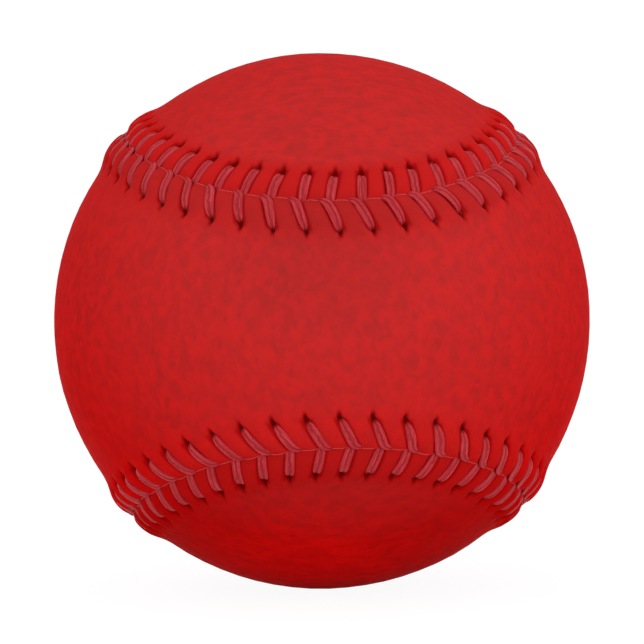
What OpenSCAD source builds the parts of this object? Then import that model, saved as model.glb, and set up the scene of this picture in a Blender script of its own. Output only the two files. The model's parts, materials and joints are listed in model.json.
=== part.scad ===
// A stitched leather ball: a rubber-cased cork centre, four yarn windings, two
// figure-of-eight covers and two threads that lace the covers together.
// Millimetres. The origin is the ball's centre, +Z is up, and the narrow waist of
// the front cover faces -Y.

/* [Ball] */
// Diameter over the leather, away from the raised seam
ball_d = 73.8; // [70:0.1:76]

/* [Centre] */
// Diameter of the cork ball in the middle
cork_d = 20.6; // [18:0.1:24]
// Wall of the two black rubber half shells round the cork
black_shell_t = 3.2; // [2.5:0.1:4]
// Thickness of the red rubber washer between the rims of the half shells
washer_t = 1.6; // [1:0.1:2.5]
// Wall of the red rubber layer moulded over the half shells
red_layer_t = 3.1; // [2:0.1:4]

/* [Windings] */
// Depth of the second winding, of white three-ply wool yarn
second_winding_t = 1.75; // [1.2:0.05:2.5]
// Depth of the third winding, of grey three-ply wool yarn
third_winding_t = 2.25; // [1.5:0.05:3]
// Depth of the finish winding, of fine white cotton yarn
finish_winding_t = 0.5; // [0.3:0.05:1]
// Play that keeps one layer clear of the next
layer_gap = 0.05; // [0.02:0.01:0.1]

/* [Covers] */
// Thickness of the cover leather
leather_t = 1; // [0.8:0.05:1.4]
// Play between the covers and the finish winding
cover_seat_gap = 0.2; // [0.15:0.01:0.4]
// Play between the butted edges of the two covers
cover_edge_gap = 0.1; // [0.04:0.02:0.2]
// How far the lobes of a cover swell, as a share of the ball's radius
lobe_share = 0.43; // [0.38:0.01:0.48]
// How far the waist of a cover is drawn out, in the same share
waist_share = 0.017; // [0:0.001:0.03]

/* [Seam] */
// Height of the raised seam over the rest of the leather
seam_rise = 0.75; // [0.4:0.05:1]
// Width of the raised leather on each side of the seam
seam_side_w = 5.8; // [5.6:0.1:7]
// Double stitches in a quarter of the seam
stitches_per_quarter = 27; // [24:1:30]

/* [Lacing holes] */
// Distance of the lacing holes from the seam
hole_offset = 4.25; // [4.1:0.05:4.4]
// Length of a lacing hole, measured across the seam
hole_l = 1.4; // [1.3:0.05:1.6]
// Width of a lacing hole at its seam end
hole_w = 1.5; // [1.4:0.05:1.8]

/* [Thread] */
// Diameter of one of the two plies of the thread
ply_d = 0.6; // [0.44:0.02:0.64]
// Distance between the centres of the two plies
ply_pitch = 0.52; // [0.4:0.02:0.56]
// How far a leg on the front cover leans along the seam on its way in from the hole
front_lean = 1.65; // [0.6:0.05:1.8]
// The same for a leg on the rear cover, which is tucked under the front one's end
rear_lean = 0.95; // [0.6:0.05:1.8]
// Distance from the seam at which a leg of a stitch dives between the covers
stitch_end_offset = 0.26; // [0.24:0.02:0.5]
// Play under the thread where it crosses the raised leather
thread_gap = 0.13; // [0.1:0.01:0.2]

/* [Hidden] */
// Longest edge of a flat on the plain leather
facet_l = 5.2;
// Leather between a lacing hole and the rings of points on either side of it
hole_rim = 0.13;
// Width of a lacing hole at its far end, as a share of its width at the seam end
hole_taper_share = 0.8;
// Place in its hole where a leg of a stitch starts, as a share of the hole's length
// from the hole's middle
thread_start_share = 0.3;
// Places of the shoulder of the seam's groove and of the crest of the raised
// leather, as shares of seam_side_w
shoulder_share = 0.17;
crest_share = 0.38;

// Across each side of the seam: the rings of points at the leather's edge, the
// groove's shoulder, the crest, both ends of the holes and the foot of the raised
// leather, and the leather's height at each, as shares of seam_rise
ring_offsets = [
    0,
    shoulder_share * seam_side_w,
    crest_share * seam_side_w,
    hole_offset - hole_l / 2 - hole_rim,
    hole_offset + hole_l / 2 + hole_rim,
    seam_side_w
];
rise_shares = [0.4, 0.9, 1, 0.75, 0.22, 0];

stitch_count = 4 * stitches_per_quarter;
ring_count = len(ring_offsets);
// Number of the ring on the seam side of the holes
hole_ring = len([for (r = ring_offsets) if (r < hole_offset) r]) - 1;
// Corners of a hole in turn: which side of its middle each is on, along the seam and
// across it
hole_corners = [[-1, -1], [1, -1], [1, 1], [-1, 1]];
corner_count = len(hole_corners);
ball_r = ball_d / 2;
cork_r = cork_d / 2;
black_in_r = cork_r + layer_gap;
black_out_r = black_in_r + black_shell_t;
red_in_r = black_out_r + layer_gap;
red_out_r = red_in_r + red_layer_t;
finish_out_r = ball_r - leather_t - cover_seat_gap;
finish_in_r = finish_out_r - finish_winding_t;
third_out_r = finish_in_r - layer_gap;
third_in_r = third_out_r - third_winding_t;
second_out_r = third_in_r - layer_gap;
second_in_r = second_out_r - second_winding_t;
first_out_r = second_in_r - layer_gap;
first_in_r = red_out_r + layer_gap;

$fn = 96;

// The seam

// The seam is one closed curve. It starts at the middle of the front cover's upper
// edge and turns through 360 degrees. Four equal quarters make it up.
function unit(v) = v / norm(v);
function seam_dir(turn) = unit([
    sin(turn) + lobe_share * sin(3 * turn) + waist_share * sin(5 * turn),
    -2 * sqrt(lobe_share) * cos(2 * turn),
    cos(turn) - lobe_share * cos(3 * turn) + waist_share * cos(5 * turn)
]);
function seam_slope(turn) = [
    cos(turn) + 3 * lobe_share * cos(3 * turn) + 5 * waist_share * cos(5 * turn),
    4 * sqrt(lobe_share) * sin(2 * turn),
    -sin(turn) + 3 * lobe_share * sin(3 * turn) - 5 * waist_share * sin(5 * turn)
];

// Unit vector along the seam, and one square to it that points into the front cover
function seam_along(turn) = let (s = seam_dir(turn), d = seam_slope(turn)) unit(d - (d * s) * s);
function seam_across(turn) = cross(seam_along(turn), seam_dir(turn));

// Distance along a quarter of the seam against turn, on a ball of radius 1, from
// which stitches are spaced evenly
quarter_turn = 90;
quarter_steps = 90;
function step_turn(i) = i * quarter_turn / quarter_steps;
seam_table = [
    for (i = 0, s = 0; i <= quarter_steps;
         i = i + 1, s = s + norm(seam_dir(step_turn(i)) - seam_dir(step_turn(i - 1))))
        [s, step_turn(i)]
];
quarter_len = seam_table[quarter_steps][0];

// Turn at which the seam has passed so many stitches
function stitch_turn(n) = let (
    quarter = floor(n / stitches_per_quarter),
    rest = n / stitches_per_quarter - quarter
) quarter * quarter_turn + lookup(rest * quarter_len, seam_table);

// Point at a stitch number, so far across and along from the seam, measured on the
// leather, and so far above the plain leather
function seam_point(n, across, along, up) = let (
    turn = stitch_turn(n),
    angle = across / ball_r * 180 / PI,
    dir = seam_dir(turn) * cos(angle) + seam_across(turn) * sin(angle) + seam_along(turn) * along / ball_r
) unit(dir) * (ball_r + up);

// Height of the raised leather at a distance from the seam
ridge = [for (r = [0:ring_count - 1]) [ring_offsets[r], rise_shares[r] * seam_rise]];
function ridge_height(across) = lookup(abs(across), ridge);

// The covers

// A cover is one closed mesh: an outer and an inner skin, the edge between them and
// the walls of its lacing holes. A skin is a band of rings that follow the seam, with
// a hole between each two places, and rungs that cross from the upper side of the
// band to the lower one. Ring points stand half-way between stitches.
function ring_point(i, r, drop) =
    let (across = max(ridge[r][0], cover_edge_gap / 2))
    seam_point(i + 0.5, across, 0, ridge[r][1] - drop);
function hole_corner(i, c, drop) = let (
    along_side = hole_corners[c][0],
    across_side = hole_corners[c][1],
    across = hole_offset + across_side * hole_l / 2,
    half_w = hole_w / 2 * (across_side > 0 ? hole_taper_share : 1)
) seam_point(i, across, along_side * half_w, ridge_height(across) - drop);

// Rung k joins the ring points at these two places. A rung is an arc of one meridian.
rung_count = 2 * stitches_per_quarter;
function rung_top(k) = (k - stitches_per_quarter + stitch_count) % stitch_count;
function rung_foot(k) = 3 * stitches_per_quarter - k - 1;
rung_heads = [for (k = [0:rung_count - 1]) seam_point(rung_top(k) + 0.5, seam_side_w, 0, 0)];
rung_latitudes = [for (p = rung_heads) asin(p.z / norm(p))];
rung_steps = [
    for (k = [0:rung_count - 1])
        (k == 0 || k == rung_count - 1) ? 1
        : max(2, ceil(2 * rung_latitudes[k] / 180 * PI * ball_r / facet_l))
];
rung_starts = [
    for (k = 0, s = 0; k < rung_count; s = s + rung_steps[k] - 1, k = k + 1) s
];
function rung_point(k, j, drop) = let (
    latitude = rung_latitudes[k] * (1 - 2 * j / rung_steps[k]),
    level = unit([rung_heads[k].x, rung_heads[k].y])
) [level.x * cos(latitude), level.y * cos(latitude), sin(latitude)] * (ball_r - drop);

function skin_points(drop) = concat(
    [for (r = [0:ring_count - 1]) for (i = [0:stitch_count - 1]) ring_point(i, r, drop)],
    [for (i = [0:stitch_count - 1]) for (c = [0:corner_count - 1]) hole_corner(i, c, drop)],
    [for (k = [0:rung_count - 1]) for (j = [1:1:rung_steps[k] - 1]) rung_point(k, j, drop)]
);

// Numbers of those points in their list
hole_base = ring_count * stitch_count;
rung_base = hole_base + corner_count * stitch_count;
skin_size = rung_base + rung_starts[rung_count - 1];
function ring_id(i, r) = r * stitch_count + (i + stitch_count) % stitch_count;
function hole_id(i, c) = hole_base + corner_count * i + c % corner_count;
function rung_id(k, j) =
    j == 0 ? ring_id(rung_top(k), ring_count - 1)
    : j == rung_steps[k] ? ring_id(rung_foot(k), ring_count - 1)
    : rung_base + rung_starts[k] + j - 1;

function halves(q) = [[q[0], q[1], q[2]], [q[0], q[2], q[3]]];
function cell(i, r) = [ring_id(i, r), ring_id(i + 1, r), ring_id(i + 1, r + 1), ring_id(i, r + 1)];

// Triangles between two rungs whose steps differ in number: each step of one rung
// takes the point of the other that lies level with its middle
function level_point(i, from, to) = round((i + 0.5) * to / from);
function steps_above(j, from, to) = len([for (i = [0:from - 1]) if (level_point(i, from, to) <= j) i]);
function between_rungs(k) = let (a = rung_steps[k], b = rung_steps[k + 1]) concat(
    [for (i = [0:a - 1]) [rung_id(k, i), rung_id(k + 1, level_point(i, a, b)), rung_id(k, i + 1)]],
    [for (j = [0:b - 1]) [rung_id(k, steps_above(j, a, b)), rung_id(k + 1, j), rung_id(k + 1, j + 1)]]
);

skin_faces = concat(
    [for (r = [0:ring_count - 2]) if (r != hole_ring)
        for (i = [0:stitch_count - 1]) each halves(cell(i, r))],
    [for (i = [0:stitch_count - 1]) let (q = cell(i - 1, hole_ring)) for (c = [0:corner_count - 1])
        each halves([q[c], q[(c + 1) % corner_count], hole_id(i, c + 1), hole_id(i, c)])],
    [for (k = [0:rung_count - 2]) each between_rungs(k)]
);
cover_faces = concat(
    skin_faces,
    [for (f = skin_faces) [f[2] + skin_size, f[1] + skin_size, f[0] + skin_size]],
    [for (i = [0:stitch_count - 1]) let (a = ring_id(i, 0), b = ring_id(i + 1, 0))
        each halves([b, a, a + skin_size, b + skin_size])],
    [for (i = [0:stitch_count - 1]) for (c = [0:corner_count - 1])
        let (a = hole_id(i, c), b = hole_id(i, c + 1)) each halves([a, b, b + skin_size, a + skin_size])]
);

module cover() {
    polyhedron(points = concat(skin_points(0), skin_points(leather_t)), faces = cover_faces);
}

// The thread

// One leg of a stitch: an arc of two plies side by side, from its lacing hole over
// the raised leather to the seam. Side is 1 on the front cover and -1 on the rear one.
module stitch_leg(n, side) {
    lean = side > 0 ? front_lean : rear_lean;
    start_offset = hole_offset + hole_l * thread_start_share;
    start = seam_point(n, side * start_offset, 0, ridge_height(start_offset));
    end_up = ridge_height(stitch_end_offset) + ply_d / 2 + thread_gap;
    end = seam_point(n, side * stitch_end_offset, -lean, end_up);
    crest_up = seam_rise + ply_d / 2 + thread_gap;
    crest = seam_point(n, side * (start_offset + stitch_end_offset) / 2, -lean / 2, crest_up);
    middle = (start + end) / 2;
    chord = unit(end - start);
    lift = (crest - middle) - ((crest - middle) * chord) * chord;
    arc_r = (norm(end - start) ^ 2 / 4 + norm(lift) ^ 2) / (2 * norm(lift));
    half_angle = asin(norm(end - start) / 2 / arc_r);
    outward = unit(lift);
    axle = cross(outward, chord);
    centre = middle + lift - outward * arc_r;
    multmatrix([
        [outward.x, chord.x, axle.x, centre.x],
        [outward.y, chord.y, axle.y, centre.y],
        [outward.z, chord.z, axle.z, centre.z]
    ])
        rotate([0, 0, -half_angle])
            rotate_extrude(angle = 2 * half_angle)
                for (ply = [-1, 1]) translate([arc_r, ply * ply_pitch / 2]) circle(d = ply_d, $fn = 16);
}

// A needle sews on the front cover at one stitch and on the rear cover at the next.
// The other needle takes the sides that it leaves.
module lacing(first_side) {
    for (n = [0:stitch_count - 1])
        stitch_leg(n, n % 2 == 0 ? first_side : -first_side);
}

// The centre and the windings

module hollow_ball(in_r, out_r) {
    difference() {
        sphere(r = out_r);
        sphere(r = in_r);
    }
}

// Half of the casing round the cork, above or below the washer
module black_half_shell() {
    rim = washer_t / 2 + layer_gap;
    intersection() {
        hollow_ball(black_in_r, black_out_r);
        translate([-ball_r, -ball_r, rim]) cube([ball_d, ball_d, ball_r]);
    }
}

module cork_core() {
    color("burlywood") sphere(r = cork_r);
}

module upper_black_shell() {
    color("#262626") black_half_shell();
}

module lower_black_shell() {
    color("#262626") mirror([0, 0, 1]) black_half_shell();
}

module red_washer() {
    color("firebrick") intersection() {
        hollow_ball(black_in_r, black_out_r);
        cube([ball_d, ball_d, washer_t], center = true);
    }
}

module red_rubber_layer() {
    color("#b8403a") hollow_ball(red_in_r, red_out_r);
}

module first_winding() {
    color("#8c8c8a") hollow_ball(first_in_r, first_out_r);
}

module second_winding() {
    color("#e8e4da") hollow_ball(second_in_r, second_out_r);
}

module third_winding() {
    color("#8c8c8a") hollow_ball(third_in_r, third_out_r);
}

module finish_winding() {
    color("#f2efe8") hollow_ball(finish_in_r, finish_out_r);
}

module front_cover() {
    color("#b72a29") cover();
}

// The rear cover is the front one's mirror image, turned a quarter about X and Z
module rear_cover() {
    color("#b72a29") mirror([0, 1, 0]) rotate([0, 90, 0]) cover();
}

module first_thread() {
    color("#a8323c") lacing(1);
}

module second_thread() {
    color("#a8323c") lacing(-1);
}

cork_core();
upper_black_shell();
lower_black_shell();
red_washer();
red_rubber_layer();
first_winding();
second_winding();
third_winding();
finish_winding();
front_cover();
rear_cover();
first_thread();
second_thread();
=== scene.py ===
"""A laced leather ball: two figure-of-eight covers, the thread that laces them, the
centre and windings inside, and a plain pale studio.

Metres, with the origin at the ball's centre, +Z up and the narrow waist of the front
cover facing -Y. The seam is counted in stitches: number 0 is at the middle of the
front cover's upper edge, and the count goes once round the ball. A side is 1 for the
front cover and -1 for the rear one.
"""

import json
import math

import bpy
import mathutils
import numpy as np
from bpy.props import FloatProperty, FloatVectorProperty, IntProperty, PointerProperty
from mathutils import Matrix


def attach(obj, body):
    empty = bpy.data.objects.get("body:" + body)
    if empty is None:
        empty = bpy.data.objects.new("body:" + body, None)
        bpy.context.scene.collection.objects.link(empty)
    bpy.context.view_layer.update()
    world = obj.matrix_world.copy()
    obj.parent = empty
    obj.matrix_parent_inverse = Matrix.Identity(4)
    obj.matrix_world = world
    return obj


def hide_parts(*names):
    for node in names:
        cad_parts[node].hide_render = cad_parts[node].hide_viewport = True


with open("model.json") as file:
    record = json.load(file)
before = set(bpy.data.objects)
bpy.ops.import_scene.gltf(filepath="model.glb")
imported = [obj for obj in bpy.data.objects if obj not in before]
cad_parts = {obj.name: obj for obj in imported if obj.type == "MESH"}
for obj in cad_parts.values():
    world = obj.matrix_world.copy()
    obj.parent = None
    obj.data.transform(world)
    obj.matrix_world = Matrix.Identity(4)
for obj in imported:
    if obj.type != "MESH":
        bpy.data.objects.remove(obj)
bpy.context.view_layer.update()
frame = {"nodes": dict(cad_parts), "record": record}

bl_info = {
    "name": "Laced Leather Ball",
    "version": (1, 0, 0),
    "blender": (4, 5, 0),
    "location": "3D View > Sidebar > Ball",
    "description": "Makes a leather ball with two laced covers, its centre and a studio",
    "category": "Object",
}

MM = 0.001
BALL_RADIUS = -frame["record"]["mounts"][0]["pos_m"][2]
QUARTERS = 4


# Sizes and colours


def length(name, description, millimetres):
    """A length that the user may change."""
    return FloatProperty(
        name=name, description=description, default=millimetres * MM, unit="LENGTH", precision=5
    )


def share(name, description, default):
    """A number between 0 and 1, or a little over, that the user may change."""
    return FloatProperty(name=name, description=description, default=default, subtype="FACTOR")


def angle(name, description, degrees):
    """An angle that the user may change."""
    return FloatProperty(
        name=name, description=description, default=math.radians(degrees), subtype="ANGLE"
    )


def power(name, description, watts):
    """The power of a lamp, which the user may change."""
    return FloatProperty(name=name, description=description, default=watts, unit="POWER")


def whole(name, description, default):
    """A whole number that the user may change."""
    return IntProperty(name=name, description=description, default=default)


def colour(name, description, default):
    """A colour that the user may change, written as it should look on a screen."""
    return FloatVectorProperty(
        name=name, description=description, default=default, size=3, min=0, max=1,
        subtype="COLOR_GAMMA",
    )


class BallSizes(bpy.types.PropertyGroup):
    """Sizes of the covers and of the thread."""

    radius: length("Radius", "Radius of the plain leather", BALL_RADIUS / MM)
    lobe_share: share("Lobe share", "How far the lobes of a cover swell", 0.43)
    waist_share: share("Waist share", "How far the waist of a cover is drawn out", 0.017)
    stitches: whole("Stitches", "Stitches in a quarter of the seam", 27)
    leather: length("Leather", "Thickness of the cover leather", 1)
    edge_gap: length("Edge gap", "Gap between the butted edges of the covers", 0.03)
    edge_wander: length("Edge wander", "How far the seam line sags between two stitches", 0.24)
    front_rise: length("Front rise", "Height of the front cover's crest beside the seam", 0.84)
    rear_rise: length("Rear rise", "Height of the rear cover's crest beside the seam", 0.74)
    pucker: length("Pucker", "Swell of the leather between two stitches", 0.2)
    dent: length("Dent", "Depth to which a stitch sinks into the leather", 0.38)
    hole_offset: length("Hole offset", "Distance of the lacing holes from the seam", 4.2)
    hole_depth: length("Hole depth", "Depth of a lacing hole", 0.38)
    front_lean: length("Front lean", "Lean of the stitches along the seam, front cover", 1.52)
    rear_lean: length("Rear lean", "Lean of the stitches along the seam, rear cover", 0.97)
    lean_drift: length("Lean drift", "Slow change of the lean round the seam", 0.21)
    lean_chance: length("Lean chance", "Change of the lean from stitch to stitch", 0.14)
    thread_width: length("Thread width", "Width of the two plies side by side", 1.34)
    thread_height: length("Thread height", "Thickness of the thread", 0.54)
    wave: length("Wave", "Unevenness of the plain leather", 0.035)
    station_count: whole("Stations", "Rows of points between two stitches", 20)
    seed: whole("Seed", "Picks the stitches' small differences", 7)


class BallColours(bpy.types.PropertyGroup):
    """Colours of the leather, the thread and what is inside."""

    # Painted sheen: the green and blue of these three leather colours hold a whitish sheen from
    # the lamp above, which the cover material takes out low on the ball and at its two ends.
    leather: colour("Leather", "Dyed face of the leather", (0.802, 0.157, 0.157))
    leather_dark: colour("Dark leather", "Darker clouds in the dye", (0.712, 0.16, 0.16))
    leather_speck: colour("Specks", "Small dull specks in the dye", (0.645, 0.165, 0.16))
    # Painted shade: the shadow line beside each leg and the shade in the crease beyond each hole.
    leather_shade: colour("Shaded leather", "Creases and the line round a stitch", (0.6, 0.0, 0.0))
    # Painted shade inside each lacing hole and on the thread's end where it sinks into it.
    leather_hole: colour("Hole", "Inside a lacing hole", (0.43, 0.0, 0.0))
    leather_fray: colour("Torn fibres", "Pale fibres in some holes", (0.84, 0.3, 0.28))
    leather_edge: colour("Raw edge", "Cut edge of the leather", (1.0, 0.54, 0.54))
    thread: colour("Thread", "Waxed thread", (0.73, 0.145, 0.18))
    # Dark fibres, and painted shade in the groove between the plies and along the thread's flanks.
    thread_dark: colour("Thread groove", "Groove between the plies", (0.575, 0.01, 0.06))
    cork: colour("Cork", "Ground cork of the core", (0.69, 0.5, 0.32))
    cork_dark: colour("Dark cork", "Dark grains in the cork", (0.33, 0.2, 0.12))
    black_rubber: colour("Black rubber", "Half shells round the cork", (0.09, 0.09, 0.09))
    red_rubber: colour("Red rubber", "Washer and moulded layer", (0.62, 0.2, 0.17))
    grey_yarn: colour("Grey yarn", "Wool of the first and third windings", (0.56, 0.56, 0.55))
    white_yarn: colour("White yarn", "Wool of the second winding", (0.88, 0.86, 0.81))
    cotton_yarn: colour("Cotton yarn", "Yarn of the finish winding", (0.93, 0.92, 0.88))


class BallStudio(bpy.types.PropertyGroup):
    """Light and camera."""

    distance: length("Distance", "Camera's distance from the middle of the ball", 294.7)
    lens: FloatProperty(name="Lens", description="Focal length in mm", default=118.7)
    tilt: angle("Tilt", "Ball tipped towards the camera", 0.81)
    roll: angle("Roll", "Ball rolled in the picture", -1.015)
    turn: angle("Turn", "Ball turned about its upright axis", 3.6)
    key: power("Key", "Power of the large lamp", 0.62)
    fill: power("Fill", "Power of the low lamp", 1.0)
    room: share("Room", "Strength of the room's own light", 0.88)


# The seam


def unit(rows):
    """Rows of an array as unit vectors."""
    return rows / np.linalg.norm(rows, axis=-1, keepdims=True)


class Seam:
    """The closed curve along which the two covers meet, on a ball of a given radius."""

    TABLE_STEPS = 90

    def __init__(self, sizes):
        self.radius = sizes.radius
        self.lobe = sizes.lobe_share
        self.waist = sizes.waist_share
        self.per_quarter = sizes.stitches
        self.count = QUARTERS * sizes.stitches
        self.table_turn = np.linspace(0, math.pi / 2, self.TABLE_STEPS + 1)
        steps = np.diff(self.frame_at(self.table_turn)[0], axis=0)
        self.table_run = np.concatenate([[0], np.cumsum(np.linalg.norm(steps, axis=1))])
        self.spacing = self.table_run[-1] * self.radius / self.per_quarter

    def frame_at(self, turn):
        """Unit vectors at a turn: out of the ball, along the seam and into the front cover."""
        lobe, waist, sin, cos = self.lobe, self.waist, np.sin, np.cos
        out = unit(np.stack([
            sin(turn) + lobe * sin(3 * turn) + waist * sin(5 * turn),
            -2 * math.sqrt(lobe) * cos(2 * turn),
            cos(turn) - lobe * cos(3 * turn) + waist * cos(5 * turn),
        ], -1))
        slope = np.stack([
            cos(turn) + 3 * lobe * cos(3 * turn) + 5 * waist * cos(5 * turn),
            4 * math.sqrt(lobe) * sin(2 * turn),
            -sin(turn) + 3 * lobe * sin(3 * turn) - 5 * waist * sin(5 * turn),
        ], -1)
        along = unit(slope - (slope * out).sum(-1, keepdims=True) * out)
        return out, along, np.cross(along, out)

    def frame(self, number):
        """The same vectors at a stitch number, which may lie between two stitches."""
        quarter, rest = np.divmod(np.asarray(number, float) / self.per_quarter, 1)
        turn = np.interp(rest * self.table_run[-1], self.table_run, self.table_turn)
        return self.frame_at(quarter * math.pi / 2 + turn)

    def direction(self, number, across):
        """Unit vector to a place so far across the seam, measured on the ball."""
        out, _, inward = self.frame(number)
        angle = np.asarray(across)[..., None] / self.radius
        return out * np.cos(angle) + inward * np.sin(angle)

    def place_from(self, stitch, directions):
        """How far along and across from a stitch the places in these directions are."""
        out, along, inward = self.frame(stitch)
        level, deep = (directions * out).sum(-1), (directions * inward).sum(-1)
        across = np.arctan2(deep, level) * self.radius
        return (directions * along).sum(-1) / np.hypot(level, deep) * self.radius, across


def smooth_line(x, places, heights):
    """A curve without corners through the given points, read at x."""
    places, heights = np.asarray(places), np.asarray(heights)
    slopes = np.gradient(heights, places)
    slopes[0] = slopes[-1] = 0
    i = np.clip(np.searchsorted(places, x) - 1, 0, len(places) - 2)
    width = places[i + 1] - places[i]
    t = np.clip((x - places[i]) / width, 0, 1)
    return (
        heights[i] * (1 + 2 * t) * (1 - t) ** 2 + heights[i + 1] * t * t * (3 - 2 * t)
        + width * (slopes[i] * t * (1 - t) ** 2 - slopes[i + 1] * t * t * (1 - t))
    )


def fade(x, low, high):
    """0 below low, 1 above high and smooth between them."""
    t = np.clip((x - low) / (high - low), 0, 1)
    return t * t * (3 - 2 * t)


def hump(x, rise, fall):
    """0 before the rise, 1 between it and the fall and 0 again after that."""
    return fade(x, *rise) * (1 - fade(x, *fall))


class Relief:
    """Height of the leather over the plain ball, beside the seam and round the stitches.

    A pair of distances is where something starts to rise or fall and where it ends.
    """

    EDGE_PLACES = np.array([0.02, 0.2, 0.5, 0.99, 1.6, 2.3, 3.4, 4.3, 5.1, 5.9, 6.6]) * MM
    EDGE_SHARES = [0.38, 0.48, 0.64, 0.85, 0.98, 1, 0.83, 0.57, 0.32, 0.11, 0]
    PUCKER_RISE, PUCKER_FALL = np.array([[0, 1], [3.4, 5.8]]) * MM
    DENT_RISE, DENT_FALL = np.array([[-0.5, 0.4], [3.6, 4.8]]) * MM
    DENT_WIDTH = 0.62 * MM
    DENT_SPREAD = (0.85, 1.1)
    SAG_SPREAD = (-0.4, 1)
    CORNER_SAG = 0.8
    HOLE_HALF_LENGTH = 0.78 * MM
    HOLE_HALF_WIDTH = 0.36 * MM
    HOLE_TAPER = 0.35
    HOLE_WALL = (0.3, 1.2)
    FRONT_STRAIGHT = 3.55 * MM
    REAR_STRAIGHT = 4.2 * MM
    WAVES = 10
    WAVE_LENGTHS = (6 * MM, 22 * MM)
    WAVE_RISE = (0.5 * MM, 5 * MM)

    def __init__(self, sizes, seam):
        self.sizes, self.seam = sizes, seam
        rng = np.random.default_rng(sizes.seed)
        self.leg_dent = rng.uniform(*self.DENT_SPREAD, (2, seam.count))
        round_seam = 2 * math.pi * np.arange(seam.count) / seam.count
        drift = sizes.lean_drift * np.cos(round_seam)
        self.leg_shift = rng.uniform(-1, 1, (2, seam.count)) * sizes.lean_chance - drift
        bends = 1 + self.CORNER_SAG * np.sin(round_seam) ** 2
        self.sags = rng.uniform(*self.SAG_SPREAD, seam.count) * bends
        self.wave_turns = unit(rng.normal(size=(self.WAVES, 3)))
        self.wave_turns *= 2 * math.pi / rng.uniform(*self.WAVE_LENGTHS, (self.WAVES, 1))
        self.wave_starts = rng.uniform(0, 2 * math.pi, self.WAVES)

    def ridge(self, across, side):
        """Height of the raised leather beside the seam."""
        rise = self.sizes.front_rise if side > 0 else self.sizes.rear_rise
        return rise * smooth_line(across, self.EDGE_PLACES, self.EDGE_SHARES)

    def swell(self, across):
        """Share of the pucker at this distance from the seam."""
        return hump(across, self.PUCKER_RISE, self.PUCKER_FALL)

    def pressed(self, across):
        """Share of the dent under a leg at this distance from the seam."""
        return hump(across, self.DENT_RISE, self.DENT_FALL)

    def of_leg(self, table, side, stitch):
        """What a table holds for the leg of this stitch on this side."""
        return table[0 if side > 0 else 1, stitch % self.seam.count]

    def shift_of(self, side, stitch):
        """How much further than usual this stitch's leg leans."""
        return self.of_leg(self.leg_shift, side, stitch)

    def straight(self, side):
        """Distance from the seam at which a leg is level with its stitch again."""
        return self.FRONT_STRAIGHT if side > 0 else self.REAR_STRAIGHT

    def lean_at(self, across, side, shift=0):
        """How far a stitch's leg has drifted along the seam at this distance from it."""
        lean = self.sizes.front_lean if side > 0 else self.sizes.rear_lean
        return -(lean + shift) * (1 - across / self.straight(side))

    def beside_hole(self, along, across, side, stitch):
        """Distance from the line that follows a leg to its hole and then runs straight out."""
        across = np.minimum(across, self.sizes.hole_offset)
        return along - self.lean_at(across, side, self.shift_of(side, stitch))

    def wander(self, number):
        """How far the seam line sags from the front cover's side, between two stitches."""
        past = np.asarray(number) + self.sizes.front_lean / self.seam.spacing
        sag = self.sags[np.floor(past).astype(int) % self.seam.count]
        return -self.sizes.edge_wander * sag * np.sin(math.pi * (past % 1)) ** 2

    def wave(self, directions):
        """Unevenness of the stretched leather, from slow waves in many directions."""
        phases = directions @ self.wave_turns.T * self.seam.radius + self.wave_starts
        return self.sizes.wave * np.sin(phases).sum(-1) / math.sqrt(self.WAVES)

    def hole(self, along, reach, side, stitch):
        """Share of a lacing hole's depth at places beside its stitch."""
        far = reach - self.sizes.hole_offset
        beside = self.beside_hole(along, reach, side, stitch)
        wide = self.HOLE_HALF_WIDTH * (1 - self.HOLE_TAPER * far / self.HOLE_HALF_LENGTH)
        return 1 - fade(np.hypot(far / self.HOLE_HALF_LENGTH, beside / wide), *self.HOLE_WALL)

    def height(self, number, across, directions, side):
        """Height at places beside the seam."""
        sizes, seam = self.sizes, self.seam
        height = self.ridge(across, side) + self.wave(directions) * fade(across, *self.WAVE_RISE)
        leg_number = number - self.lean_at(across, side) / seam.spacing
        height -= sizes.pucker * self.swell(across) * np.cos(2 * math.pi * leg_number)
        near = np.round(leg_number).astype(int)
        for stitch in (near - 1, near, near + 1):
            along, reach = seam.place_from(stitch, directions)
            reach = reach * side
            off = along - self.lean_at(reach, side, self.shift_of(side, stitch))
            depth = sizes.dent * self.of_leg(self.leg_dent, side, stitch)
            height -= depth * self.pressed(reach) * np.exp(-((off / self.DENT_WIDTH) ** 2))
            height -= sizes.hole_depth * self.hole(along, reach, side, stitch)
        return height


# Meshes


def zip_rungs(first, second, out):
    """Triangles between two rungs, which are lists of point numbers with unequal steps."""
    a, b = len(first) - 1, len(second) - 1
    level = [min(b, int(math.floor((i + 0.5) * b / a + 0.5))) for i in range(a)]
    for i in range(a):
        out.append((first[i], second[level[i]], first[i + 1]))
    for j in range(b):
        above = sum(1 for mark in level if mark <= j)
        out.append((first[above], second[j], second[j + 1]))


def quads(first, second):
    """Triangles between two closed rings of equally many points."""
    a, b = np.asarray(first), np.asarray(second)
    a2, b2 = np.roll(a, -1), np.roll(b, -1)
    return np.concatenate([np.stack([a, a2, b2], 1), np.stack([a, b2, b], 1)])


def new_object(name, data):
    """An object at the origin, in the scene, with this mesh, lamp or lens."""
    made = bpy.data.objects.new(name, data)
    bpy.context.scene.collection.objects.link(made)
    return made


def mesh_object(name, points, faces):
    """A smooth-shaded object at the origin whose mesh has these points and faces."""
    mesh = bpy.data.meshes.new(name)
    mesh.from_pydata(points.tolist(), [], faces.tolist() if hasattr(faces, "tolist") else faces)
    mesh.update()
    mesh.polygons.foreach_set("use_smooth", np.ones(len(mesh.polygons), bool))
    return new_object(name, mesh)


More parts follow.
